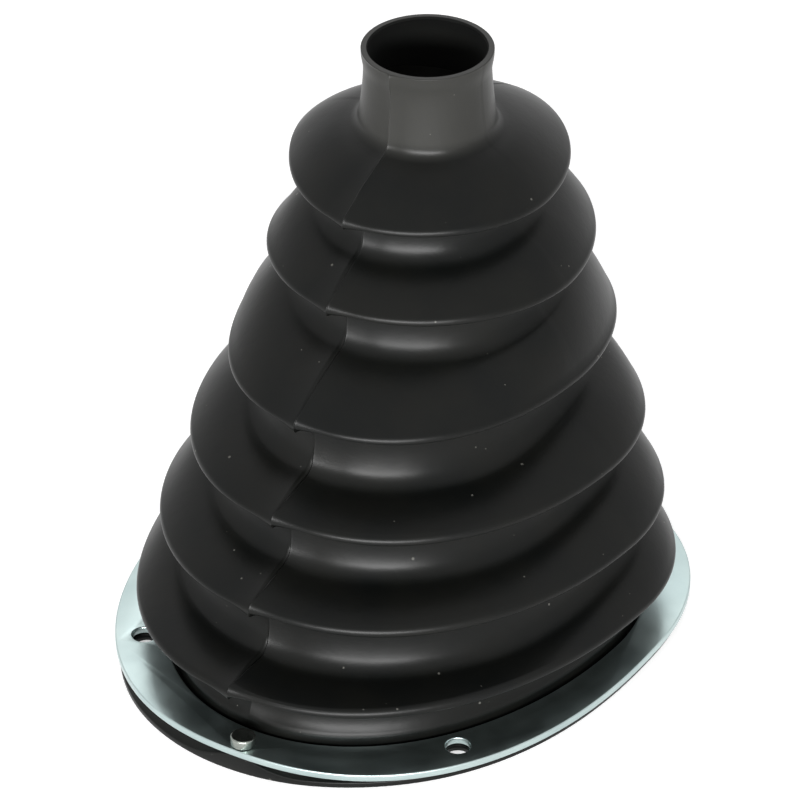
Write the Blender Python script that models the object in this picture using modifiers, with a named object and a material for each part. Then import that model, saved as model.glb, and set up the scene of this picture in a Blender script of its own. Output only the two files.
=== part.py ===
"""Steering lever boot.

A one-piece moulded rubber bellows with six convolutions, a round neck for the lever tube and a
flat base flange, clamped to the cab floor by a steel ring plate.  A rivet at each end of the ring
holds it to the flange.

Frame: Z up, base of the flange on Z = 0, ring plate symmetric about X = 0, its nose towards -Y,
and the origin under its middle.  The bellows stand a little to one side on the flange and are
turned slightly about the neck axis, and their parting plane turns with them.
"""
import math

import bmesh
import bpy

MM = 0.001

# Neck, sized for a 30 mm lever tube: the rubber is stretched over the tube.
TUBE_DIAMETER = 30.0 * MM
NECK_STRETCH = 0.6 * MM
WALL = 1.8 * MM
NECK_RADIUS = (TUBE_DIAMETER - NECK_STRETCH) / 2 + WALL
NECK_TOP = 167.0 * MM
NECK_BASE = 148.5 * MM
LIP_LAND = 1.0 * MM
LIP_SLOPE = 5.0 * MM
LIP_ROLL = 0.6 * MM
NECK_FLARE = 1.3 * MM
NECK_FILLET = 3.4 * MM

# Where the bellows stand on the flange: sideways from its centre line, and turned about the neck.
NECK_OFFSET = 2.0 * MM
BELLOWS_TURN = math.radians(-3.5)

# Fullness: 1 is a straight line, 2 an ellipse, and more is squarer.  The first two shape the
# domes in side view, with the top one nearly a cone, and the others shape the plan sections.
DOME_FULLNESS = 1.6
CONE_FULLNESS = 1.2
UPPER_FULLNESS = 1.85
LOWER_FULLNESS = 2.07
PLATE_FULLNESS = 2.3

# Crest of each convolution, top to bottom, measured from the neck axis:
# height, then its outline as half width, nose length, tail length and fullness.
CRESTS = [
    (133.1 * MM, (35.4 * MM, 37.9 * MM, 43.5 * MM, UPPER_FULLNESS)),
    (111.1 * MM, (42.5 * MM, 45.2 * MM, 50.5 * MM, UPPER_FULLNESS)),
    (83.8 * MM, (46.3 * MM, 60.2 * MM, 55.5 * MM, LOWER_FULLNESS)),
    (60.3 * MM, (56.5 * MM, 71.0 * MM, 55.5 * MM, LOWER_FULLNESS)),
    (38.6 * MM, (64.2 * MM, 81.5 * MM, 56.0 * MM, LOWER_FULLNESS)),
    (18.6 * MM, (68.0 * MM, 91.8 * MM, 58.3 * MM, LOWER_FULLNESS)),
]
CREST_RADIUS = 0.7 * MM
CREST_FLARE = 1.3 * MM
CREST_LAND = 3.0 * MM
ROOT_DEPTH = 9.0 * MM
ROOT_DROP = 5.2 * MM
ROOT_WIDTH = 1.2 * MM

# Foot: the short wall below the last convolution, and the flange it stands on.
FOOT_INSET = 8.8 * MM
FOOT_SHOULDER = 2.2 * MM
FOOT_FILLET = 1.0 * MM
FLANGE_INSET = 1.0 * MM

# Ring plate: how far it reaches past the foot wall at the side, at the nose and at the tail.
PLATE_REACH = (12.5 * MM, 11.3 * MM, 16.3 * MM)
PLATE_THICKNESS = 2.0 * MM
PLATE_EDGE_BREAK = 0.3 * MM
PIECE_GAP = 0.3 * MM
RING_BOTTOM = WALL + PIECE_GAP
RING_TOP = RING_BOTTOM + PLATE_THICKNESS

# Fasteners: four open holes for M6 bolts, and the two rivets that hold the ring to the flange.
# All keep their distance from the edge of the plate, and the angle is measured from its ends.
BOLT_DIAMETER = 6.0 * MM
BOLT_CLEARANCE = 0.6 * MM
BOLT_EDGE_DISTANCE = 7.5 * MM
BOLT_ANGLE = math.radians(46.0)
RIVET_SHANK_DIAMETER = 4.0 * MM
RIVET_HEAD_DIAMETER = 6.6 * MM
RIVET_HEAD_HEIGHT = 2.5 * MM
RIVET_HEAD_CHAMFER = 0.5 * MM
RIVET_EDGE_DISTANCE = 3.6 * MM

# Points closer than this are one point, where a turned profile starts and ends on its axis.
MERGE_DISTANCE = 0.01 * MM

# Facets.
AROUND = 44
HOLE_SIDES = 20
DOME_STEPS = 5


def clear_scene():
    for obj in list(bpy.data.objects):
        bpy.data.objects.remove(obj, do_unlink=True)


def make_collection(name):
    collection = bpy.data.collections.new(name)
    bpy.context.scene.collection.children.link(collection)
    return collection


def make_material(name, colour, metallic, roughness):
    material = bpy.data.materials.new(name)
    material.use_nodes = True
    shader = material.node_tree.nodes["Principled BSDF"]
    shader.inputs["Base Color"].default_value = (*colour, 1.0)
    shader.inputs["Metallic"].default_value = metallic
    shader.inputs["Roughness"].default_value = roughness
    return material


def signed_power(value, exponent):
    return math.copysign(abs(value) ** exponent, value)


def oval_point(outline, angle):
    """Point of an oval around the neck axis; angle 0 is its nose, and half a turn its tail."""
    half_width, nose, tail, fullness = outline
    length = nose if math.cos(angle) > 0 else tail
    x = half_width * signed_power(math.sin(angle), 2 / fullness)
    y = -length * signed_power(math.cos(angle), 2 / fullness)
    return x, y


def offset_outline(outline, distance):
    *lengths, fullness = outline
    return (*(length + distance for length in lengths), fullness)


def round_outline(radius):
    return (radius, radius, radius, 2.0)


def foot_outline(distance=0.0):
    """Outline of the foot wall below the last crest, moved outwards by a distance."""
    return offset_outline(CRESTS[-1][1], distance - FOOT_INSET)


PLATE_OUTLINE = (*(foot + reach for foot, reach in zip(foot_outline(), PLATE_REACH)), PLATE_FULLNESS)
NECK_SETBACK = (PLATE_OUTLINE[1] - PLATE_OUTLINE[2]) / 2


def around_angles():
    return [2 * math.pi * index / AROUND for index in range(AROUND)]


def boot_section(outline, height):
    """Plan section of the bellows, turned about the neck axis."""
    cosine = math.cos(BELLOWS_TURN)
    sine = math.sin(BELLOWS_TURN)
    points = []
    for angle in around_angles():
        x, y = oval_point(outline, angle)
        points.append((NECK_OFFSET + x * cosine - y * sine, NECK_SETBACK + x * sine + y * cosine, height))
    return points


def plate_point(angle, inset):
    x, y = oval_point(offset_outline(PLATE_OUTLINE, -inset), angle)
    return x, y + NECK_SETBACK


def plate_section(inset, height):
    return [(*plate_point(angle, inset), height) for angle in around_angles()]


def blend(first, second, factor):
    return tuple(a + (b - a) * factor for a, b in zip(first, second))


def neck_stations():
    """Outline and height of each section down the neck, ending in the fillet to the first dome."""
    waist = round_outline(NECK_RADIUS)
    foot = offset_outline(waist, NECK_FLARE)
    stations = [
        (offset_outline(waist, LIP_ROLL), NECK_TOP),
        (offset_outline(waist, LIP_ROLL), NECK_TOP - LIP_LAND),
        (waist, NECK_TOP - LIP_LAND - LIP_SLOPE),
        (foot, NECK_BASE + NECK_FILLET),
    ]
    for degrees in (30, 60):
        angle = math.radians(degrees)
        grow = NECK_FILLET * (1 - math.cos(angle))
        drop = NECK_FILLET * math.sin(angle)
        stations.append((offset_outline(foot, grow), NECK_BASE + NECK_FILLET - drop))
    return stations


def dome_stations(top, crest, fullness):
    """Sections of one dome from its root to its crest, following a superellipse quarter."""
    top_outline, top_height = top
    crest_outline, crest_height = crest
    land_outline = offset_outline(crest_outline, -CREST_FLARE)
    land_height = crest_height + CREST_LAND
    stations = []
    for step in range(1, DOME_STEPS + 1):
        angle = math.pi / 2 * step / DOME_STEPS
        outwards = math.sin(angle) ** (2 / fullness)
        downwards = 1 - math.cos(angle) ** (2 / fullness)
        outline = blend(top_outline, land_outline, outwards)
        stations.append((outline, top_height + (land_height - top_height) * downwards))
    stations.append((crest_outline, crest_height))
    return stations


def bellows_stations():
    """Sections of the outer skin from the neck to the last root, and the indices of the crests."""
    stations = neck_stations()
    crest_indices = []
    for number, (height, outline) in enumerate(CRESTS):
        fullness = DOME_FULLNESS if number else CONE_FULLNESS
        stations += dome_stations(stations[-1], (outline, height), fullness)
        crest_indices.append(len(stations) - 1)
        root = offset_outline(outline, -ROOT_DEPTH)
        stations.append((root, height - ROOT_DROP + ROOT_WIDTH / 2))
        stations.append((root, height - ROOT_DROP - ROOT_WIDTH / 2))
    return stations, crest_indices


def foot_stations(last_root_height):
    """Sections of the foot wall, its fillet and the inner edge of the flange."""
    return [
        (foot_outline(), last_root_height - FOOT_SHOULDER),
        (foot_outline(), WALL + FOOT_FILLET),
        (foot_outline(FOOT_FILLET), WALL),
        (foot_outline(2 * FOOT_FILLET), WALL),
    ]


def new_object(name, mesh, collection, material=None):
    obj = bpy.data.objects.new(name, mesh)
    collection.objects.link(obj)
    if material:
        mesh.materials.append(material)
    return obj


def loft(name, sections, collection, material):
    """Open skin of quads through closed sections that share one point count, top to bottom."""
    mesh = bpy.data.meshes.new(name)
    skin = bmesh.new()
    rings = [[skin.verts.new(point) for point in section] for section in sections]
    for upper, lower in zip(rings, rings[1:]):
        count = len(upper)
        for index in range(count):
            following = (index + 1) % count
            skin.faces.new((upper[index], lower[index], lower[following], upper[following]))
    skin.to_mesh(mesh)
    skin.free()
    return new_object(name, mesh, collection, material)


def thicken(obj, thickness, offset):
    """Give a surface its wall; offset 1 grows it along the normals, and -1 against them."""
    modifier = obj.modifiers.new("wall", "SOLIDIFY")
    modifier.thickness = thickness
    modifier.offset = offset


def plate(name, section, thickness, collection, material=None):
    """Flat plate that grows upwards from one plan section."""
    mesh = bpy.data.meshes.new(name)
    mesh.from_pydata(section, [], [range(len(section))])
    obj = new_object(name, mesh, collection, material)
    thicken(obj, thickness, 1.0)
    return obj


def turned(name, profile, centre, collection, material):
    """Round body about a vertical axis, from (radius, height) pairs, top to bottom."""
    mesh = bpy.data.meshes.new(name)
    points = [(radius, 0.0, height) for radius, height in profile]
    mesh.from_pydata(points, [(index, index + 1) for index in range(len(points) - 1)], [])
    obj = new_object(name, mesh, collection, material)
    obj.location = (*centre, 0.0)
    turn = obj.modifiers.new("turn", "SCREW")
    turn.axis = "Z"
    turn.steps = HOLE_SIDES
    turn.render_steps = HOLE_SIDES
    turn.use_merge_vertices = True
    turn.merge_threshold = MERGE_DISTANCE
    return obj


def cut(obj, cutters):
    for cutter in cutters:
        modifier = obj.modifiers.new(cutter.name, "BOOLEAN")
        modifier.object = cutter
        modifier.operation = "DIFFERENCE"
        modifier.solver = "EXACT"


def add_crest_rounding(obj, crest_indices):
    """Mark the crest edges of the skin so that one bevel rounds all six."""
    mesh = obj.data
    weights = mesh.attributes.new("bevel_weight_edge", "FLOAT", "EDGE")
    crests = set(crest_indices)
    for edge in mesh.edges:
        rows = {vertex // AROUND for vertex in edge.vertices}
        if len(rows) == 1 and rows <= crests:
            weights.data[edge.index].value = 1.0
    modifier = obj.modifiers.new("crest_radius", "BEVEL")
    modifier.width = CREST_RADIUS
    modifier.segments = 2
    modifier.limit_method = "WEIGHT"
    return modifier


def hole_cutter(name, diameter, centre, collection):
    """Cylinder that passes right through the flange and the ring plate."""
    mesh = bpy.data.meshes.new(name)
    cylinder = bmesh.new()
    bmesh.ops.create_cone(
        cylinder,
        cap_ends=True,
        segments=HOLE_SIDES,
        radius1=diameter / 2,
        radius2=diameter / 2,
        depth=RING_TOP + 2 * PLATE_THICKNESS,
    )
    cylinder.to_mesh(mesh)
    cylinder.free()
    cutter = new_object(name, mesh, collection)
    cutter.location = (*centre, RING_TOP / 2)
    return cutter


def rivet_positions():
    return {
        "rivet_nose": plate_point(0.0, RIVET_EDGE_DISTANCE),
        "rivet_tail": plate_point(math.pi, RIVET_EDGE_DISTANCE),
    }


def fastener_holes(collection):
    holes = []
    bolt_angles = (BOLT_ANGLE, math.pi - BOLT_ANGLE, math.pi + BOLT_ANGLE, -BOLT_ANGLE)
    for number, angle in enumerate(bolt_angles, start=1):
        diameter = BOLT_DIAMETER + BOLT_CLEARANCE
        centre = plate_point(angle, BOLT_EDGE_DISTANCE)
        holes.append(hole_cutter(f"bolt_hole_{number}", diameter, centre, collection))
    for name, centre in rivet_positions().items():
        diameter = RIVET_SHANK_DIAMETER + 2 * PIECE_GAP
        holes.append(hole_cutter(f"{name}_hole", diameter, centre, collection))
    return holes


def build_boot(parts, material, holes):
    stations, crest_indices = bellows_stations()
    stations += foot_stations(stations.pop()[1])
    sections = [boot_section(outline, height) for outline, height in stations]
    sections.append(plate_section(FLANGE_INSET, WALL))
    boot = loft("rubber_boot", sections, parts, material)
    thicken(boot, WALL, -1.0)
    add_crest_rounding(boot, crest_indices)
    cut(boot, holes)
    return boot


def build_ring(parts, cutters, material, holes):
    ring = plate("retaining_ring", plate_section(0.0, RING_BOTTOM), PLATE_THICKNESS, parts, material)
    window_outline = foot_outline(FOOT_FILLET + PIECE_GAP)
    window = plate("ring_window", boot_section(window_outline, 0.0), 2 * RING_TOP, cutters)
    cut(ring, [window, *holes])
    edge_break = ring.modifiers.new("edge_break", "BEVEL")
    edge_break.width = PLATE_EDGE_BREAK
    edge_break.segments = 1
    edge_break.limit_method = "ANGLE"
    edge_break.angle_limit = math.radians(60)
    return ring


def build_rivet(name, centre, parts, material):
    seat = RING_TOP + PIECE_GAP
    top = seat + RIVET_HEAD_HEIGHT
    head_radius = RIVET_HEAD_DIAMETER / 2
    shank_radius = RIVET_SHANK_DIAMETER / 2
    profile = [
        (0.0, top),
        (head_radius - RIVET_HEAD_CHAMFER, top),
        (head_radius, top - RIVET_HEAD_CHAMFER),
        (head_radius, seat),
        (shank_radius, seat),
        (shank_radius, 0.0),
        (0.0, 0.0),
    ]
    return turned(name, profile, centre, parts, material)


def main():
    clear_scene()
    parts = make_collection("steering_lever_boot")
    cutters = make_collection("cutters")
    rubber = make_material("black_rubber", (0.018, 0.018, 0.018), 0.0, 0.45)
    zinc = make_material("zinc_plated_steel", (0.62, 0.66, 0.66), 1.0, 0.3)
    rivet_steel = make_material("rivet_steel", (0.45, 0.47, 0.45), 1.0, 0.35)

    holes = fastener_holes(cutters)
    pieces = [build_boot(parts, rubber, holes), build_ring(parts, cutters, zinc, holes)]
    for name, centre in rivet_positions().items():
        pieces.append(build_rivet(name, centre, parts, rivet_steel))

    frame = new_object("boot_frame", None, parts)
    for piece in pieces:
        piece.parent = frame
    for cutter in cutters.objects:
        cutter.hide_render = True
        cutter.display_type = "WIRE"


main()
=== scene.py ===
"""Looks of the steering lever boot: moulded rubber bellows, zinc plated ring plate and rivets.

The rubber boot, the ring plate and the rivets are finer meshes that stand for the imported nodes.
Frame: metres, Z up, ring plate symmetric about X = 0 with its nose towards -Y.  The bellows stand
a little to one side on their flange and are turned slightly about the neck axis.
"""
import math

import bmesh
import bpy
import numpy as np
from mathutils import Matrix, Vector, noise


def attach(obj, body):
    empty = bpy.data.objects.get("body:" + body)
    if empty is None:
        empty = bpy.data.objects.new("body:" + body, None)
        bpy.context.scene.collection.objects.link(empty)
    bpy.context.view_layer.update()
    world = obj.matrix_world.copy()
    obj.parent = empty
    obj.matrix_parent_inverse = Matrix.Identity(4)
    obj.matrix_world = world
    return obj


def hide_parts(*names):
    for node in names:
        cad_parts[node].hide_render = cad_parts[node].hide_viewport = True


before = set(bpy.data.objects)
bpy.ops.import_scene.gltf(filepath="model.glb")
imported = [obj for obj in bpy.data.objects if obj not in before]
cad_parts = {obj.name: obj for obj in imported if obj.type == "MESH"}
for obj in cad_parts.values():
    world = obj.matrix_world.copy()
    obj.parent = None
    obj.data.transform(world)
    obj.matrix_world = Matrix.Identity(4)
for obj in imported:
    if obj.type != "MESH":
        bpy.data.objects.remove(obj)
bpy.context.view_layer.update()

MM = 0.001

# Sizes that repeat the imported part's own.  An outline is half width, nose length, tail length and
# fullness, which is 2 for an ellipse and more for a squarer oval.
WALL = 1.8 * MM
NECK_RADIUS = 16.5 * MM
NECK_TOP = 167.0 * MM
NECK_BASE = 148.5 * MM
LIP_LAND = 1.0 * MM
LIP_SLOPE = 5.0 * MM
LIP_ROLL = 0.6 * MM
NECK_FLARE = 1.3 * MM
NECK_FILLET = 3.4 * MM
NECK_OFFSET = 2.0 * MM
BELLOWS_TURN = math.radians(-3.5)
UPPER_FULLNESS = 1.85
LOWER_FULLNESS = 2.07
CRESTS = [
    (133.1 * MM, (35.4 * MM, 37.9 * MM, 43.5 * MM, UPPER_FULLNESS)),
    (111.1 * MM, (42.5 * MM, 45.2 * MM, 50.5 * MM, UPPER_FULLNESS)),
    (83.8 * MM, (46.3 * MM, 60.2 * MM, 55.5 * MM, LOWER_FULLNESS)),
    (60.3 * MM, (56.5 * MM, 71.0 * MM, 55.5 * MM, LOWER_FULLNESS)),
    (38.6 * MM, (64.2 * MM, 81.5 * MM, 56.0 * MM, LOWER_FULLNESS)),
    (18.6 * MM, (68.0 * MM, 91.8 * MM, 58.3 * MM, LOWER_FULLNESS)),
]
ROOT_DEPTH = 9.0 * MM
ROOT_DROP = 5.2 * MM
PLATE_FULLNESS = 2.3
FOOT_INSET = 8.8 * MM
FOOT_FILLET = 1.0 * MM
FLANGE_INSET = 1.0 * MM
PLATE_REACH = (12.5 * MM, 11.3 * MM, 16.3 * MM)
PLATE_THICKNESS = 2.0 * MM
PIECE_GAP = 0.3 * MM
BOLT_HOLE = 6.6 * MM
BOLT_EDGE_DISTANCE = 7.5 * MM
BOLT_ANGLE = math.radians(46.0)
RIVET_HOLE = 4.6 * MM
RIVET_SHANK = 4.0 * MM
RIVET_HEAD = 6.6 * MM
RIVET_HEAD_HEIGHT = 2.5 * MM
RIVET_HEAD_CHAMFER = 0.5 * MM
RIVET_EDGE_DISTANCE = 3.6 * MM

# Shape that only the finer meshes have.  Below each root a wall runs down, leaning out a little, and
# a hollow leads from its end out to the face of the next dome.  The walls' heights go from the neck
# down.  Angles, in degrees, say how far a surface faces upwards.
GAP_WALLS = (3.9 * MM, 5.9 * MM, 8.8 * MM, 6.8 * MM, 7.8 * MM)
GAP_LEAN = 20
GAP_FILLET = 6.8 * MM
FACE_START = 68

# How far the fillet under the neck lies below the plain shape's, and the skirt above the flange.
NECK_DROP = 4.2 * MM
FOOT_UNDERCUT = 0.8 * MM
FOOT_SKIRT = 6.6 * MM
FOOT_LEAN = 36

# Two profiles: share of the wall heights, bow of the faces and where the round at a crest starts.
# The front one holds right of the nose and fades out towards both sides, on the left from a smaller
# share of it.  Azimuths are in degrees from the nose, right positive: FRONT_END is where the fading
# starts on the right, LEFT_END where it is over on the left.
FRONT_PROFILE = (1.0, 0.30, 52)
SIDE_PROFILE = (0.25, 0.62, 42)
FRONT_EDGE = 0.8 * MM
FRONT_END = 48
FRONT_FADE = 64
LEFT_SHARE = 0.72
LEFT_END = -62
LEFT_FADE = 54

# Places where a crest stands out or in from the plain shape, set so that the outline agrees with the
# photograph's: height and reach up and down, azimuth and width, and how far.
BULGES = [
    (136.0 * MM, 8.0 * MM, -100, 35, 3.0 * MM),
    (114.0 * MM, 7.0 * MM, -100, 35, -3.6 * MM),
    (88.0 * MM, 8.0 * MM, -100, 35, 4.4 * MM),
    (64.0 * MM, 8.0 * MM, -100, 35, 1.8 * MM),
    (64.0 * MM, 8.0 * MM, 110, 35, 1.2 * MM),
    (42.0 * MM, 7.0 * MM, -100, 35, -4.4 * MM),
    (42.0 * MM, 7.0 * MM, 110, 35, 0.8 * MM),
    (22.0 * MM, 6.0 * MM, 100, 40, 1.0 * MM),
]

# Lean of the bellows, whose left side stands higher: by LEAN at LEAN_WIDTH from the parting plane.
# It grows from LEAN_FROM upwards, and fades out below LEAN_END.
LEAN = 1.5 * MM
LEAN_WIDTH = 50.0 * MM
LEAN_FROM = 8.0 * MM
LEAN_GROWTH = 60.0 * MM
LEAN_END = NECK_TOP - 12.0 * MM
LEAN_FADE = 15.0 * MM

# Rounds on the lip, above and under a crest, in the roots, and on the edges of flange, plate and
# rivets; an edge of the last two is rounded where it turns by more than EDGE_ANGLE.
LIP_RADIUS = 0.3 * MM
RIM_RADIUS = 2.1 * MM
CREST_RADIUS = 0.75 * MM
ROOT_RADIUS = 0.6 * MM
FLANGE_ROUND = 0.4 * MM
PLATE_ROUND = 0.35 * MM
RIVET_ROUND = 0.06 * MM
EDGE_ANGLE = math.radians(50.0)

# Parting line: the right mould half stands a little proud of the left one and a little higher.  A
# keel runs along the nose, and a thin line of flash along the whole seam.  The skin is slightly wavy.
# At the foot and at the rim of the neck all this fades out.
SEAM_STEP = 0.22 * MM
SEAM_STEP_WIDTH = 0.10 * MM
SEAM_STEP_REACH = 12.0 * MM
SEAM_LIFT = 0.9 * MM
SEAM_LIFT_REACH = 30.0 * MM
SEAM_LIFT_GROWTH = 80.0 * MM
SEAM_KEEL = 1.3 * MM
SEAM_KEEL_REACH = 9.0 * MM
SEAM_KEEL_RADIUS = 50.0 * MM
SEAM_PULL = 0.7 * MM
SEAM_PULL_REACH = 20.0 * MM
SEAM_FLASH = 0.35 * MM
SEAM_FLASH_WIDTH = 0.14 * MM
SEAM_FLASH_NOISE = 180.0
WAVE = 0.25 * MM
WAVE_NOISE = 22.0
FOOT_FADE = 4.0 * MM
RIM_FADE = 0.4 * MM

# Columns of the boot's mesh: distances from the parting line in millimetres, then evenly spaced.
SEAM_DISTANCES = (0.07, 0.16, 0.3, 0.5, 0.85, 1.4, 2.2, 3.4)
SIDE_COLUMNS = 100

# How far the inside of the neck ends below its rim, and how far a cutter reaches up and down.
INNER_LIP = 1.0 * MM
CUTTER_REACH = 10.0 * MM

# Edge of the flange, which hangs below the plate: azimuth and width in degrees, depth, and how
# sharply it bends down.  The rivet at the nose holds the top within this width of it, in degrees.
FLANGE_SAGS = [(-38.0, 30.0, 4.3 * MM), (-2.0, 18.0, 2.7 * MM)]
SAG_POWER = 6
RIVET_PAD = 7.0

# Rubber: a painted sheen, paler on the outside of the neck and fading in over that height, dusty, and dull
# inside.
PAINTED_SHEEN_RUBBER = (0.024, 0.024, 0.022, 1.0)
PAINTED_SHEEN_FADE = 4.0 * MM
DUST = (0.075, 0.074, 0.066, 1.0)
BORE_ROUGHNESS = (0.95, 0.95, 0.95, 1.0)
BUMP_HEIGHT = 0.2 * MM

# Camera, fitted to the photograph at an assumed distance: direction of the view, what it looks at
# and how far it is zoomed in.
CAMERA_AZIMUTH = math.radians(30.42)
CAMERA_ELEVATION = math.radians(32.49)
CAMERA_DISTANCE = 1.4
CAMERA_TARGET_HEIGHT = 86.6 * MM
CAMERA_FOCAL_PIXELS = 5343.5
PHOTO_PIXELS = 800
PRINCIPAL_POINT = (427.56, 313.9)
SENSOR_WIDTH = 36.0

# Lamps: name, azimuth from the camera and elevation in degrees, distance, size and brightness.  A
# brightness of 1 is white, and takes WHITE_WATTS for each square metre of lamp.  The floor lies a
# little below the lowest point of the flange.
LAMPS = [
    ("overhead", 180.0, 50.0, 1.4, (0.8, 0.8), 1.2),
    ("front", -5.0, 12.0, 1.5, (1.35, 0.40), 21.0),
]
LAMP_TARGET_HEIGHT = 80.0 * MM
WHITE_WATTS = 4.0
FLOOR_DROP = 5.2 * MM
FLOOR_SIZE = 4.0
FLOOR_GLOW = 0.55


def signed_power(value, exponent):
    return np.sign(value) * np.abs(value) ** exponent


def offset_outline(outline, distance):
    *lengths, fullness = outline
    return (*(length + distance for length in lengths), fullness)


def round_outline(radius):
    return (radius, radius, radius, 2.0)


def blend(first, second, factor):
    return tuple(a + (b - a) * factor for a, b in zip(first, second))


def smooth_step(value):
    value = np.clip(value, 0.0, 1.0)
    return value * value * (3.0 - 2.0 * value)


FOOT_OUTLINE = offset_outline(CRESTS[-1][1], -FOOT_INSET)
PLATE_OUTLINE = (*(foot + reach for foot, reach in zip(FOOT_OUTLINE, PLATE_REACH)), PLATE_FULLNESS)
NECK_SETBACK = (PLATE_OUTLINE[1] - PLATE_OUTLINE[2]) / 2
NECK_AXIS = Vector((NECK_OFFSET, NECK_SETBACK, 0.0))


def section_angles(half_width, fullness):
    """Angles around a section from its nose, crowded at both ends where the parting line runs."""
    ends = [math.asin((distance * MM / half_width) ** (fullness / 2)) for distance in SEAM_DISTANCES]
    middle = np.linspace(ends[-1], math.pi - ends[-1], SIDE_COLUMNS + 2)[1:-1]
    side = np.concatenate([ends, middle, [math.pi - angle for angle in reversed(ends)]])
    return np.concatenate([[0.0], side, [math.pi], 2 * math.pi - side[::-1]])


def oval(outline):
    """Points of a plan section around the neck axis, anticlockwise from its nose."""
    half_width, nose, tail, fullness = outline
    angles = section_angles(half_width, fullness)
    length = np.where(np.cos(angles) > 0, nose, tail)
    x = half_width * signed_power(np.sin(angles), 2 / fullness)
    y = -length * signed_power(np.cos(angles), 2 / fullness)
    return np.stack([x, y], axis=1)


def turned(points):
    """Plan points of the bellows, turned and set in place on the flange."""
    cosine = math.cos(BELLOWS_TURN)
    sine = math.sin(BELLOWS_TURN)
    x, y = points[:, 0], points[:, 1]
    return np.stack([NECK_OFFSET + x * cosine - y * sine, NECK_SETBACK + x * sine + y * cosine], axis=1)


def boot_row(outline, height):
    plan = turned(oval(outline))
    return np.column_stack([plan, np.full(len(plan), height)])


def plate_row(inset, height):
    plan = oval(offset_outline(PLATE_OUTLINE, -inset))
    plan[:, 1] += NECK_SETBACK
    return np.column_stack([plan, np.full(len(plan), height)])


def plate_point(angle, inset):
    half_width, nose, tail, fullness = offset_outline(PLATE_OUTLINE, -inset)
    length = nose if math.cos(angle) > 0 else tail
    x = half_width * signed_power(math.sin(angle), 2 / fullness)
    y = -length * signed_power(math.cos(angle), 2 / fullness)
    return float(x), float(y) + NECK_SETBACK


def arc(offset, height, radius, start, end, steps):
    """Offsets and heights along a round; angles in degrees from straight outwards, up positive."""
    angles = np.radians(np.linspace(start, end, steps))
    return [(offset + radius * math.cos(angle), height + radius * math.sin(angle)) for angle in angles]


def round_stations(outline, points):
    return [(offset_outline(outline, offset), height) for offset, height in points]


def neck_stations():
    waist = round_outline(NECK_RADIUS)
    rim = offset_outline(waist, LIP_ROLL)
    foot = offset_outline(waist, NECK_FLARE)
    inner_edge = LIP_RADIUS - WALL
    stations = round_stations(rim, arc(inner_edge, NECK_TOP - LIP_RADIUS, LIP_RADIUS, 150, 90, 3))
    stations.append((offset_outline(rim, -WALL / 2), NECK_TOP))
    stations += round_stations(rim, arc(-LIP_RADIUS, NECK_TOP - LIP_RADIUS, LIP_RADIUS, 90, 0, 5))
    stations.append((rim, NECK_TOP - LIP_LAND))
    for step in np.linspace(0, 1, 6)[1:]:
        ease = (1 + math.cos(math.pi * step)) / 2
        stations.append((offset_outline(waist, LIP_ROLL * ease), NECK_TOP - LIP_LAND - LIP_SLOPE * step))
    top = NECK_TOP - LIP_LAND - LIP_SLOPE
    bottom = NECK_BASE + NECK_FILLET - NECK_DROP
    for step in np.linspace(0, 1, 8)[1:]:
        stations.append((offset_outline(waist, NECK_FLARE * step ** 1.5), top + (bottom - top) * step))
    stations += round_stations(foot, arc(NECK_FILLET, bottom, NECK_FILLET, 180, 180 + FACE_START, 9)[1:])
    return stations


def crest_stations(outline, height, start):
    """Round that turns down from the dome to the crest, and the sharper one under it."""
    upper = arc(-RIM_RADIUS, height, RIM_RADIUS, start, 0, 7)
    lower = arc(-CREST_RADIUS, height, CREST_RADIUS, -20, -115, 6)
    return round_stations(outline, upper + lower)


def gap_stations(outline, height, wall_height, steps):
    """Leaning wall below a root, and the hollow at its end."""
    radius = wall_height / math.sin(math.radians(GAP_LEAN))
    top = height - ROOT_DROP
    wall = arc(radius - ROOT_DEPTH, top, radius, 180, 180 + GAP_LEAN, steps)
    lean = math.radians(180 + GAP_LEAN)
    offset = wall[-1][0] - GAP_FILLET * math.cos(lean)
    centre = wall[-1][1] - GAP_FILLET * math.sin(lean)
    hollow = arc(offset, centre, GAP_FILLET, 180 + GAP_LEAN, 180 + FACE_START, steps)
    return round_stations(outline, wall[1:] + hollow[1:])


def face_stations(top, number, profile, gap_steps, steps):
    """One dome from the root above it to the round at its crest."""
    wall_share, bow, rim_start = profile
    stations = []
    if number:
        above_height, above = CRESTS[number - 1]
        stations = gap_stations(above, above_height, GAP_WALLS[number - 1] * wall_share, gap_steps)
    height, outline = CRESTS[number]
    start_outline, start_height = stations[-1] if stations else top
    end_outline, end_height = crest_stations(outline, height, rim_start)[0]
    for step in range(1, steps):
        way = step / steps
        fall = (end_height - start_height) * way * (1 - bow + bow * way)
        stations.append((blend(start_outline, end_outline, way), start_height + fall))
    return stations


def root_stations(outline, height):
    """Underside of a convolution and the upper round at its root."""
    start = arc(ROOT_RADIUS - ROOT_DEPTH, height - ROOT_DROP, ROOT_RADIUS, 120, 180, 4)
    # about where the round under the crest ends
    under = (-1.42 * CREST_RADIUS, height - 0.9 * CREST_RADIUS)
    slope = [blend(under, start[0], step) for step in np.linspace(0, 1, 5)[1:-1]]
    return round_stations(outline, slope + start)


def skirt_stations(height, steps):
    """Skirt of the foot, which leans out from under the last convolution to the straight foot."""
    radius = FOOT_SKIRT / math.sin(math.radians(FOOT_LEAN))
    inset = radius * (1 - math.cos(math.radians(FOOT_LEAN)))
    top = height - FOOT_UNDERCUT
    return round_stations(FOOT_OUTLINE, arc(radius - inset, top, radius, 180, 180 + FOOT_LEAN, steps))


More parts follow.
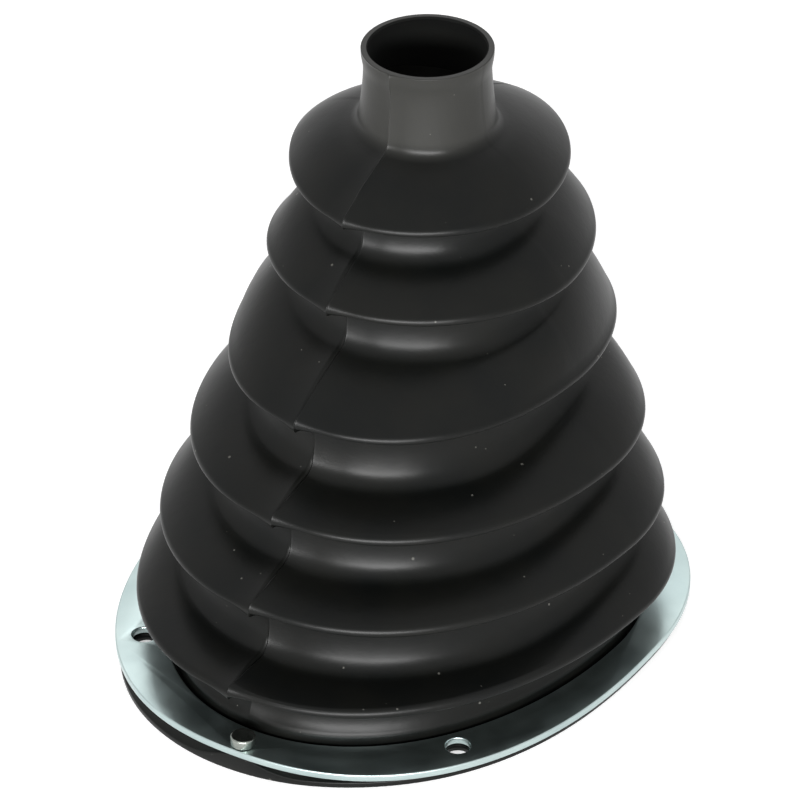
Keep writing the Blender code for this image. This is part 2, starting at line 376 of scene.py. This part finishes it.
def outer_stations(profile):
    stations = neck_stations()
    for number, (height, outline) in enumerate(CRESTS):
        stations += face_stations(stations[-1], number, profile, 9, 10)
        stations += crest_stations(outline, height, profile[2])
        stations += root_stations(outline, height)
    stations += skirt_stations(stations[-1][1], 9)
    wall_top = stations[-1][1]
    wall_bottom = WALL + FOOT_FILLET
    for step in np.linspace(0, 1, 6)[1:]:
        stations.append((FOOT_OUTLINE, wall_top + (wall_bottom - wall_top) * step))
    return stations + round_stations(FOOT_OUTLINE, arc(FOOT_FILLET, wall_bottom, FOOT_FILLET, 200, 270, 5))


def inner_stations(profile):
    """Coarser profile that the inside of the wall is measured from."""
    waist = round_outline(NECK_RADIUS)
    foot = offset_outline(waist, NECK_FLARE)
    bottom = NECK_BASE + NECK_FILLET - NECK_DROP
    stations = [
        (offset_outline(waist, LIP_ROLL), NECK_TOP),
        (offset_outline(waist, LIP_ROLL), NECK_TOP - LIP_LAND),
        (waist, NECK_TOP - LIP_LAND - LIP_SLOPE),
    ]
    stations += round_stations(foot, arc(NECK_FILLET, bottom, NECK_FILLET, 180, 180 + FACE_START, 4))
    for number, (height, outline) in enumerate(CRESTS):
        stations += face_stations(stations[-1], number, profile, 3, 5)
        stations.append((offset_outline(outline, -CREST_RADIUS / 2), height))
        stations.append((offset_outline(outline, -ROOT_DEPTH), height - ROOT_DROP + ROOT_RADIUS))
    stations += skirt_stations(stations[-1][1], 4)
    stations.append((FOOT_OUTLINE, WALL + FOOT_FILLET))
    stations.append((FOOT_OUTLINE, -WALL))
    return stations


def bellows_grid(stations):
    """Rows of the bellows: the front profile right of the nose, blended into the side one elsewhere."""
    side = np.stack([boot_row(outline, height) for outline, height in stations(SIDE_PROFILE)])
    front = np.stack([boot_row(outline, height) for outline, height in stations(FRONT_PROFILE)])
    across, along = seam_frame(front)
    angle = np.degrees(np.arctan2(across, -along))
    right = smooth_step((FRONT_END + FRONT_FADE - angle) / FRONT_FADE)
    left = LEFT_SHARE * smooth_step((angle - LEFT_END) / LEFT_FADE)
    share = left + (right - left) * smooth_step(across / FRONT_EDGE + 0.5)
    return side + (front - side) * share[:, :, None]


def grid_normals(grid):
    """Outward normals of a grid of rows, with closed rows and open ends."""
    around = np.roll(grid, -1, axis=1) - np.roll(grid, 1, axis=1)
    down = np.gradient(grid, axis=0)
    normals = np.cross(down, around)
    return normals / np.linalg.norm(normals, axis=2, keepdims=True)


def seam_frame(grid):
    """Signed distances from the parting plane and, along it, from the neck axis towards the tail."""
    x = grid[:, :, 0] - NECK_OFFSET
    y = grid[:, :, 1] - NECK_SETBACK
    cosine = math.cos(-BELLOWS_TURN)
    sine = math.sin(-BELLOWS_TURN)
    across = x * cosine - y * sine
    along = x * sine + y * cosine
    return across, along


def noise_field(grid, scale, seed):
    """Smooth noise sampled at every point of a grid."""
    shift = Vector((seed * 17.3, seed * 5.1, seed * 9.7))
    flat = [noise.noise(Vector(point) * scale + shift) for point in grid.reshape(-1, 3)]
    return np.array(flat).reshape(grid.shape[:2])


def moulded(grid):
    """Parting line, mould shift and the slight waviness of the rubber on the outer skin."""
    normals = grid_normals(grid)
    across, along = seam_frame(grid)
    at_foot = smooth_step((grid[:, :, 2] - FOOT_FADE) / FOOT_FADE)
    at_rim = smooth_step((NECK_TOP - grid[:, :, 2]) / RIM_FADE)
    weight = at_foot * at_rim
    right = smooth_step((across + SEAM_STEP_WIDTH / 2) / SEAM_STEP_WIDTH)
    distance = np.abs(across)
    step = SEAM_STEP * right * np.exp(-np.clip(across, 0, None) / SEAM_STEP_REACH)
    share = np.clip(np.hypot(across, along) / SEAM_KEEL_RADIUS, 0.3, 1.0)
    keel = SEAM_KEEL * share * np.clip(1 - distance / (SEAM_KEEL_REACH * share), 0, None) ** 2
    keel -= SEAM_PULL * share * np.exp(-(distance / SEAM_PULL_REACH) ** 2)
    rough = 0.2 + 1.6 * noise_field(grid, SEAM_FLASH_NOISE, 3)
    flash = SEAM_FLASH * np.exp(-(distance / SEAM_FLASH_WIDTH) ** 2) * np.clip(rough, 0, None)
    wave = WAVE * noise_field(grid, WAVE_NOISE, 1)
    nose = along < 0
    push = np.where(nose, step + keel, 0.0) + flash + wave
    moved = grid + normals * (push * weight)[:, :, None]
    lift = SEAM_LIFT * right * np.exp(-np.clip(across, 0, None) / SEAM_LIFT_REACH) * nose
    lift = lift * smooth_step((NECK_BASE - grid[:, :, 2]) / SEAM_LIFT_GROWTH)
    moved[:, :, 2] += lift * weight
    return moved


def bulged(grid):
    """Places that stand out or in from the plain shape."""
    across, along = seam_frame(grid)
    angle = np.degrees(np.arctan2(across, -along))
    push = np.zeros(across.shape)
    for height, reach, azimuth, width, amount in BULGES:
        turn = (angle - azimuth + 180) % 360 - 180
        push += amount * np.exp(-((grid[:, :, 2] - height) / reach) ** 2 - (turn / width) ** 2)
    plan = grid[:, :, :2] - np.array(NECK_AXIS.xy)
    moved = grid.copy()
    moved[:, :, :2] += plan / np.linalg.norm(plan, axis=2, keepdims=True) * push[:, :, None]
    return moved


def leaned(grid):
    """Lean of the bellows, whose left side stands higher than the right one."""
    across = seam_frame(grid)[0]
    height = grid[:, :, 2]
    weight = smooth_step((height - LEAN_FROM) / LEAN_GROWTH) * smooth_step((LEAN_END - height) / LEAN_FADE)
    moved = grid.copy()
    moved[:, :, 2] -= LEAN * across / LEAN_WIDTH * weight
    return moved


def sag(rows):
    """Depth by which the flange hangs at each column."""
    azimuth = np.degrees(np.arctan2(rows[:, 0] - NECK_AXIS.x, NECK_AXIS.y - rows[:, 1]))
    depth = np.zeros(len(rows))
    for centre, width, amount in FLANGE_SAGS:
        depth += amount * np.exp(-((azimuth - centre) / width) ** 2)
    return depth


def sheet_row(inner, height, step, drop):
    """Row of the flange's sheet, at a share of the way from the foot fillet to the round edge."""
    row = inner + (plate_row(FLANGE_INSET + FLANGE_ROUND, height) - inner) * step
    row[:, 2] = height - drop * step ** SAG_POWER
    return row


def edge_row(offset, height, drop):
    row = plate_row(FLANGE_INSET + FLANGE_ROUND - offset, height)
    row[:, 2] -= drop
    return row


def flange_rows(inner):
    """Top, edge and underside of the flange, from the foot fillet out and back to the inside."""
    edge = plate_row(FLANGE_INSET, WALL)
    drop = sag(edge)
    azimuth = np.degrees(np.arctan2(edge[:, 0], -edge[:, 1]))
    top_drop = drop * (1 - np.exp(-((azimuth / RIVET_PAD) ** 2)))
    upper_edge = arc(0.0, WALL - FLANGE_ROUND, FLANGE_ROUND, 90, 0, 4)
    lower_edge = arc(0.0, FLANGE_ROUND, FLANGE_ROUND, 0, -90, 4)
    rows = [sheet_row(inner, WALL, step, top_drop) for step in (0.15, 0.35, 0.55, 0.68, 0.78, 0.86, 0.93)]
    rows += [edge_row(offset, height, top_drop) for offset, height in upper_edge]
    rows += [edge_row(offset, height, drop) for offset, height in lower_edge]
    rows += [sheet_row(inner, 0.0, step, drop) for step in (0.93, 0.84, 0.7, 0.4, 0.05)]
    return np.stack(rows)


def mesh_from_grid(name, grid):
    """Closed body from a grid whose rows and columns both wrap round."""
    rows, columns = grid.shape[:2]
    index = np.arange(rows * columns).reshape(rows, columns)
    below = np.roll(index, -1, axis=0)
    corners = [index, below, np.roll(below, -1, axis=1), np.roll(index, -1, axis=1)]
    faces = np.stack(corners, axis=2).reshape(-1, 4)
    mesh = bpy.data.meshes.new(name)
    mesh.from_pydata(grid.reshape(-1, 3).tolist(), [], faces.tolist())
    return mesh


def new_object(name, mesh):
    obj = bpy.data.objects.new(name, mesh)
    bpy.context.scene.collection.objects.link(obj)
    return obj


def frozen(obj):
    """Replace an object's mesh by its evaluated one, shaded smooth, and drop its modifiers."""
    depsgraph = bpy.context.evaluated_depsgraph_get()
    mesh = bpy.data.meshes.new_from_object(obj.evaluated_get(depsgraph))
    obj.modifiers.clear()
    obj.data = mesh
    for polygon in mesh.polygons:
        polygon.use_smooth = True
    return obj


def fastener_holes():
    """One mesh of every cylinder that cuts the flange and the ring plate."""
    cylinders = bmesh.new()
    bolts = [BOLT_ANGLE, math.pi - BOLT_ANGLE, math.pi + BOLT_ANGLE, -BOLT_ANGLE]
    places = [(plate_point(angle, BOLT_EDGE_DISTANCE), BOLT_HOLE) for angle in bolts]
    places += [(plate_point(angle, RIVET_EDGE_DISTANCE), RIVET_HOLE) for angle in (0.0, math.pi)]
    for (x, y), diameter in places:
        bmesh.ops.create_cone(
            cylinders,
            cap_ends=True,
            segments=48,
            radius1=diameter / 2,
            radius2=diameter / 2,
            depth=2 * CUTTER_REACH,
            matrix=Matrix.Translation((x, y, 0.0)),
        )
    mesh = bpy.data.meshes.new("fastener_holes")
    cylinders.to_mesh(mesh)
    cylinders.free()
    return new_object("fastener_holes", mesh)


def cut(obj, cutter):
    modifier = obj.modifiers.new(cutter.name, "BOOLEAN")
    modifier.object = cutter
    modifier.operation = "DIFFERENCE"
    modifier.solver = "EXACT"


def round_edges(obj, width, segments):
    modifier = obj.modifiers.new("edge", "BEVEL")
    modifier.width = width
    modifier.segments = segments
    modifier.limit_method = "ANGLE"
    modifier.angle_limit = EDGE_ANGLE


def build_boot(holes):
    outer = leaned(bulged(moulded(bellows_grid(outer_stations))))
    flange = flange_rows(outer[-1])
    inside = bellows_grid(inner_stations)
    inside = leaned(bulged(inside - grid_normals(inside) * WALL))
    inside[-1, :, 2] = 0.0
    inside[0, :, 2] = NECK_TOP - INNER_LIP
    grid = np.concatenate([outer, flange, inside[::-1]])
    boot = new_object("boot_look", mesh_from_grid("boot_look", grid))
    cut(boot, holes)
    return frozen(boot)


def flat_plate(name, rows, thickness):
    mesh = bpy.data.meshes.new(name)
    mesh.from_pydata(rows.tolist(), [], [range(len(rows))])
    obj = new_object(name, mesh)
    modifier = obj.modifiers.new("thickness", "SOLIDIFY")
    modifier.thickness = thickness
    modifier.offset = 1.0
    return obj


def build_ring(holes):
    bottom = WALL + PIECE_GAP
    ring = flat_plate("ring_look", plate_row(0.0, bottom), PLATE_THICKNESS)
    opening = boot_row(offset_outline(FOOT_OUTLINE, FOOT_FILLET + PIECE_GAP), 0.0)
    window = flat_plate("ring_window", opening, CUTTER_REACH)
    cut(ring, window)
    cut(ring, holes)
    round_edges(ring, PLATE_ROUND, 4)
    frozen(ring)
    bpy.data.objects.remove(window, do_unlink=True)
    return ring


def build_rivet(name, centre):
    seat = WALL + PLATE_THICKNESS + 2 * PIECE_GAP
    top = seat + RIVET_HEAD_HEIGHT
    head = RIVET_HEAD / 2
    shank = RIVET_SHANK / 2
    profile = [(0.0, top), (head - RIVET_HEAD_CHAMFER, top)]
    profile += arc(head - RIVET_HEAD_CHAMFER, top - RIVET_HEAD_CHAMFER, RIVET_HEAD_CHAMFER, 90, 0, 6)[1:]
    profile += [(head, seat), (shank, seat), (shank, 0.0), (0.0, 0.0)]
    body = bmesh.new()
    edge_points = [body.verts.new((radius, 0.0, height)) for radius, height in profile]
    edges = [body.edges.new(pair) for pair in zip(edge_points, edge_points[1:])]
    bmesh.ops.spin(
        body,
        geom=edge_points + edges,
        cent=(0, 0, 0),
        axis=(0, 0, 1),
        angle=2 * math.pi,
        steps=48,
        use_merge=True,
    )
    bmesh.ops.remove_doubles(body, verts=body.verts, dist=0.001 * MM)
    bmesh.ops.recalc_face_normals(body, faces=body.faces)
    mesh = bpy.data.meshes.new(name)
    body.to_mesh(mesh)
    body.free()
    rivet = new_object(name, mesh)
    rivet.location = (*centre, 0.0)
    round_edges(rivet, RIVET_ROUND, 2)
    return frozen(rivet)


class Nodes:
    """Short way to build a material's node tree."""

    def __init__(self, tree):
        self.tree = tree
        tree.nodes.clear()

    def add(self, kind, sockets=None, **settings):
        node = self.tree.nodes.new(kind)
        for name, value in settings.items():
            setattr(node, name, value)
        for name, value in (sockets or {}).items():
            if isinstance(value, bpy.types.NodeSocket):
                self.tree.links.new(value, node.inputs[name])
            else:
                node.inputs[name].default_value = value
        return node

    def ramp(self, factor, stops):
        node = self.add("ShaderNodeValToRGB", {"Fac": factor})
        elements = node.color_ramp.elements
        while len(elements) < len(stops):
            elements.new(0.5)
        for element, (position, colour) in zip(elements, stops):
            element.position = position
            element.color = (*colour, 1.0) if isinstance(colour, tuple) else (colour, colour, colour, 1.0)
        return node.outputs["Color"]

    def noise(self, scale, detail, vector):
        node = self.add("ShaderNodeTexNoise", {"Vector": vector, "Scale": scale, "Detail": detail})
        return node.outputs["Fac"]

    def maths(self, operation, first, second=0.0):
        node = self.add("ShaderNodeMath", {0: first, 1: second}, operation=operation)
        return node.outputs[0]

    def mix(self, factor, first, second):
        node = self.add("ShaderNodeMix", data_type="RGBA")
        # inputs 6 and 7 and output 2 are the node's colour sockets
        for socket, value in ((node.inputs[0], factor), (node.inputs[6], first), (node.inputs[7], second)):
            if isinstance(value, bpy.types.NodeSocket):
                self.tree.links.new(value, socket)
            else:
                socket.default_value = value
        return node.outputs[2]

    def shows_background(self):
        """1 for rays from the camera, a glossy surface or glass, and otherwise 0."""
        ray = self.add("ShaderNodeLightPath")
        seen = self.maths("MAXIMUM", ray.outputs["Is Camera Ray"], ray.outputs["Is Glossy Ray"])
        return self.maths("MAXIMUM", seen, ray.outputs["Is Transmission Ray"])

    def finish(self, shader):
        output = self.add("ShaderNodeOutputMaterial")
        self.tree.links.new(shader, output.inputs["Surface"])


def new_material(name):
    material = bpy.data.materials.new(name)
    material.use_nodes = True
    return material, Nodes(material.node_tree)


def rubber_material():
    material, nodes = new_material("moulded rubber")
    place = nodes.add("ShaderNodeTexCoord").outputs["Object"]
    blotch = nodes.noise(60.0, 4.0, place)
    base = nodes.ramp(blotch, [(0.35, (0.0026, 0.0030, 0.0028)), (0.62, (0.0040, 0.0042, 0.0036))])
    axes = nodes.add("ShaderNodeSeparateXYZ", {0: place})
    plan = nodes.add("ShaderNodeCombineXYZ", {0: axes.outputs["X"], 1: axes.outputs["Y"]})
    axis = tuple(NECK_AXIS)
    reach = nodes.add("ShaderNodeVectorMath", {0: plan.outputs[0], 1: axis}, operation="DISTANCE")
    outside = nodes.maths("GREATER_THAN", reach.outputs["Value"], NECK_RADIUS - WALL / 2)
    height = nodes.maths("SUBTRACT", axes.outputs["Z"], NECK_BASE - NECK_DROP)
    above = nodes.maths("MULTIPLY", height, 1 / PAINTED_SHEEN_FADE)
    above.node.use_clamp = True
    # painted sheen: a paler base colour on the outer neck stands in for its broad matte reflection
    painted_sheen = nodes.maths("MULTIPLY", outside, above)
    base = nodes.mix(painted_sheen, base, PAINTED_SHEEN_RUBBER)
    dust_cell = nodes.add("ShaderNodeTexVoronoi", {"Vector": place, "Scale": 420.0})
    dust_size = nodes.ramp(dust_cell.outputs["Color"], [(0.78, 0.0), (1.0, 0.22)])
    dust = nodes.maths("LESS_THAN", dust_cell.outputs["Distance"], dust_size)
    colour = nodes.mix(dust, base, DUST)
    rough = nodes.ramp(nodes.noise(35.0, 5.0, place), [(0.3, 0.32), (0.7, 0.39)])
    rough = nodes.mix(outside, BORE_ROUGHNESS, rough)
    grain = nodes.noise(1500.0, 3.0, place)
    pebble = nodes.noise(260.0, 3.0, place)
    relief = nodes.maths("ADD", nodes.maths("MULTIPLY", grain, 0.35), pebble)
    bump = nodes.add("ShaderNodeBump", {"Strength": 0.22, "Distance": BUMP_HEIGHT, "Height": relief})
    shader = nodes.add(
        "ShaderNodeBsdfPrincipled",
        {
            "Base Color": colour,
            "Roughness": rough,
            "Normal": bump.outputs["Normal"],
            "Specular IOR Level": 0.16,
        },
    )
    nodes.finish(shader.outputs["BSDF"])
    return material


def zinc_material():
    material, nodes = new_material("zinc plate")
    place = nodes.add("ShaderNodeTexCoord").outputs["Object"]
    cloud = nodes.noise(45.0, 5.0, place)
    colour = nodes.ramp(cloud, [(0.3, (0.38, 0.47, 0.47)), (0.7, (0.48, 0.57, 0.56))])
    rough = nodes.ramp(nodes.noise(120.0, 4.0, place), [(0.3, 0.28), (0.7, 0.36)])
    grain = nodes.noise(700.0, 4.0, place)
    bump = nodes.add("ShaderNodeBump", {"Strength": 0.10, "Distance": BUMP_HEIGHT, "Height": grain})
    shader = nodes.add(
        "ShaderNodeBsdfPrincipled",
        {"Base Color": colour, "Metallic": 1.0, "Roughness": rough, "Normal": bump.outputs["Normal"]},
    )
    nodes.finish(shader.outputs["BSDF"])
    return material


def rivet_material():
    material, nodes = new_material("rivet steel")
    place = nodes.add("ShaderNodeTexCoord").outputs["Object"]
    cloud = nodes.noise(500.0, 4.0, place)
    colour = nodes.ramp(cloud, [(0.3, (0.22, 0.24, 0.22)), (0.7, (0.34, 0.36, 0.33))])
    grain = nodes.noise(900.0, 3.0, place)
    bump = nodes.add("ShaderNodeBump", {"Strength": 0.2, "Distance": BUMP_HEIGHT, "Height": grain})
    shader = nodes.add(
        "ShaderNodeBsdfPrincipled",
        {"Base Color": colour, "Metallic": 1.0, "Roughness": 0.27, "Normal": bump.outputs["Normal"]},
    )
    nodes.finish(shader.outputs["BSDF"])
    return material


def floor_material():
    material, nodes = new_material("floor")
    place = nodes.add("ShaderNodeTexCoord").outputs["Object"]
    colour = nodes.ramp(nodes.noise(3.0, 2.0, place), [(0.3, 0.80), (0.7, 0.81)])
    diffuse = nodes.add("ShaderNodeBsdfDiffuse", {"Color": colour})
    strength = nodes.maths("MULTIPLY", nodes.shows_background(), FLOOR_GLOW)
    glow = nodes.add("ShaderNodeEmission", {"Color": (1, 1, 1, 1), "Strength": strength})
    both = nodes.add("ShaderNodeAddShader")
    nodes.tree.links.new(diffuse.outputs[0], both.inputs[0])
    nodes.tree.links.new(glow.outputs[0], both.inputs[1])
    nodes.finish(both.outputs[0])
    return material


def view_direction(azimuth, elevation):
    """Unit vector from the object towards a point at that azimuth, from -Y towards +X."""
    level = math.cos(elevation)
    return Vector((math.sin(azimuth) * level, -math.cos(azimuth) * level, math.sin(elevation)))


def build_camera():
    towards = view_direction(CAMERA_AZIMUTH, CAMERA_ELEVATION)
    target = NECK_AXIS + Vector((0, 0, CAMERA_TARGET_HEIGHT))
    forward = -towards
    right = forward.cross(Vector((0, 0, 1))).normalized()
    up = right.cross(forward)
    side = (PHOTO_PIXELS / 2 - PRINCIPAL_POINT[0]) / CAMERA_FOCAL_PIXELS
    rise = (PRINCIPAL_POINT[1] - PHOTO_PIXELS / 2) / CAMERA_FOCAL_PIXELS
    aim = (forward + right * side + up * rise).normalized()
    right = (right - aim * right.dot(aim)).normalized()
    up = right.cross(aim)
    data = bpy.data.cameras.new("camera")
    data.sensor_width = SENSOR_WIDTH
    data.lens = CAMERA_FOCAL_PIXELS / PHOTO_PIXELS * SENSOR_WIDTH
    data.clip_end = 20.0
    camera = bpy.data.objects.new("camera", data)
    rotation = Matrix((right, up, -aim)).transposed().to_4x4()
    camera.matrix_world = Matrix.Translation(target + towards * CAMERA_DISTANCE) @ rotation
    bpy.context.scene.collection.objects.link(camera)
    bpy.context.scene.camera = camera


def build_lamp(name, azimuth, elevation, distance, size, level):
    """Rectangular lamp that faces the object; the level is its brightness."""
    towards = view_direction(CAMERA_AZIMUTH + math.radians(azimuth), math.radians(elevation))
    data = bpy.data.lights.new(name, "AREA")
    data.shape = "RECTANGLE"
    data.size, data.size_y = size
    data.energy = level * WHITE_WATTS * size[0] * size[1]
    lamp = bpy.data.objects.new(name, data)
    lamp.location = NECK_AXIS + Vector((0, 0, LAMP_TARGET_HEIGHT)) + towards * distance
    lamp.rotation_euler = towards.to_track_quat("Z", "Y").to_euler()
    bpy.context.scene.collection.objects.link(lamp)


def build_world():
    world = bpy.data.worlds.new("studio")
    world.use_nodes = True
    bpy.context.scene.world = world
    nodes = Nodes(world.node_tree)
    direction = nodes.add("ShaderNodeTexCoord").outputs["Generated"]
    level = view_direction(CAMERA_AZIMUTH, 0.0)
    facing = nodes.add("ShaderNodeVectorMath", {0: direction, 1: tuple(level)}, operation="DOT_PRODUCT")
    shade = nodes.maths("MULTIPLY_ADD", facing.outputs["Value"], 0.5)
    shade.node.inputs[2].default_value = 0.5
    studio = nodes.ramp(shade, [(0.35, 0.55), (0.80, 0.20)])
    around = nodes.add("ShaderNodeBackground", {"Color": studio, "Strength": 1.0})
    white = nodes.add("ShaderNodeBackground", {"Color": (1, 1, 1, 1), "Strength": 1.0})
    pick = nodes.add("ShaderNodeMixShader", {0: nodes.shows_background()})
    nodes.tree.links.new(around.outputs[0], pick.inputs[1])
    nodes.tree.links.new(white.outputs[0], pick.inputs[2])
    output = nodes.add("ShaderNodeOutputWorld")
    nodes.tree.links.new(pick.outputs[0], output.inputs["Surface"])


def build_floor():
    mesh = bpy.data.meshes.new("floor")
    corners = [(x * FLOOR_SIZE, y * FLOOR_SIZE, 0) for x, y in ((-1, -1), (1, -1), (1, 1), (-1, 1))]
    mesh.from_pydata(corners, [], [(0, 1, 2, 3)])
    floor = new_object("floor", mesh)
    floor.location.z = -FLOOR_DROP
    floor.data.materials.append(floor_material())


def dress(piece, node, material):
    piece.data.materials.clear()
    piece.data.materials.append(material)
    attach(piece, "root")
    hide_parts(node)


def main():
    holes = fastener_holes()
    boot = build_boot(holes)
    ring = build_ring(holes)
    bpy.data.objects.remove(holes, do_unlink=True)
    steel = rivet_material()
    dress(boot, "rubber_boot", rubber_material())
    dress(ring, "retaining_ring", zinc_material())
    for name, angle in (("rivet_nose", 0.0), ("rivet_tail", math.pi)):
        rivet = build_rivet(name + "_look", plate_point(angle, RIVET_EDGE_DISTANCE))
        dress(rivet, name, steel)
    build_floor()
    build_world()
    for lamp in LAMPS:
        build_lamp(*lamp)
    build_camera()
    bpy.context.scene.view_settings.view_transform = "Standard"


main()
